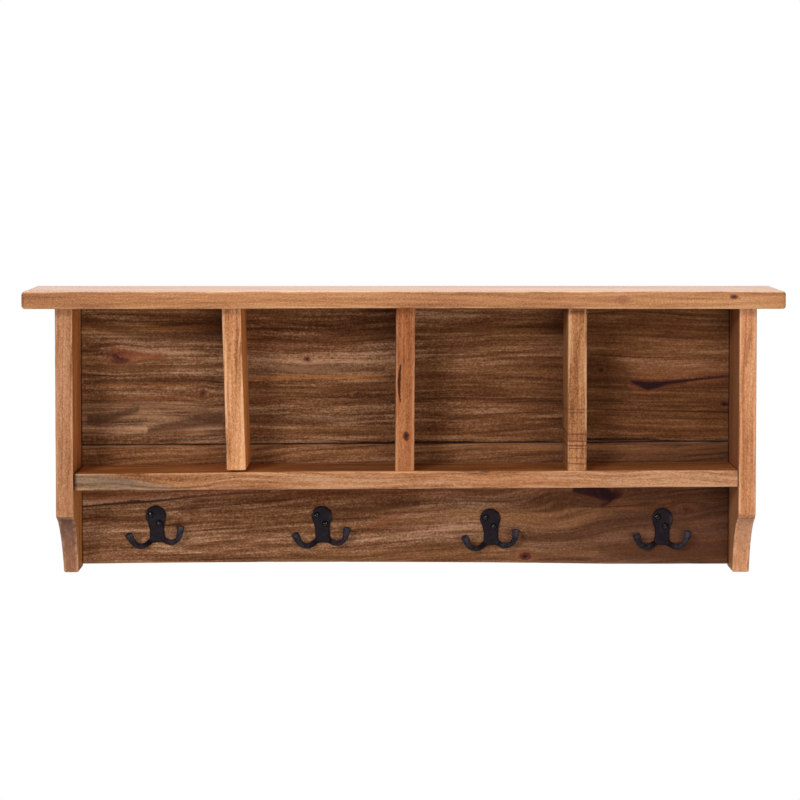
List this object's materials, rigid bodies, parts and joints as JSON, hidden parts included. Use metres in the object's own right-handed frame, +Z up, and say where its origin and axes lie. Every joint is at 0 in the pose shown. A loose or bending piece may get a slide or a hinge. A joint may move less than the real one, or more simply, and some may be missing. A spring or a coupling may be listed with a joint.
{
  "type": "wall coat rack",
  "caption": "Rustic solid-wood wall shelf with open cubbies under an overhanging top, scooped side panels and a rail with cast double hooks; hangs on keyhole plates.",
  "frame": {"origin": "on the wall plane, midway between the entry holes of the two keyhole hangers", "axes": "+X to the viewer's right along the rack, +Y into the wall, +Z up"},
  "size_m": [0.9144, 0.178, 0.3496],
  "materials": {
    "top_wood": "satin oil",
    "side_wood": "satin oil",
    "shelf_wood": "satin oil",
    "divider_wood": "satin oil",
    "back_wood": "satin oil",
    "dowel_wood": "bare",
    "hook_iron": "matte black",
    "black_screw": "satin black",
    "plated_steel": "zinc plated"
  },
  "bodies": {
    "root": {"top_board": "top_wood", "left_side_panel": "side_wood", "right_side_panel": "side_wood", "cubby_shelf": "shelf_wood", "left_divider": "divider_wood", "center_divider": "divider_wood", "right_divider": "divider_wood", "upper_back_board": "back_wood", "lower_back_board": "back_wood", "top_board_dowels": "dowel_wood", "divider_foot_dowels": "dowel_wood", "shelf_end_dowels": "dowel_wood", "back_board_dowels": "dowel_wood", "shelf_back_screws": "plated_steel", "divider_back_screws": "plated_steel", "left_keyhole_hanger": "plated_steel", "right_keyhole_hanger": "plated_steel", "left_hanger_screws": "plated_steel", "right_hanger_screws": "plated_steel", "coat_hook_1": "hook_iron", "coat_hook_screws_1": "black_screw", "coat_hook_2": "hook_iron", "coat_hook_screws_2": "black_screw", "coat_hook_3": "hook_iron", "coat_hook_screws_3": "black_screw", "coat_hook_4": "hook_iron", "coat_hook_screws_4": "black_screw"}
  },
  "joints": []
}
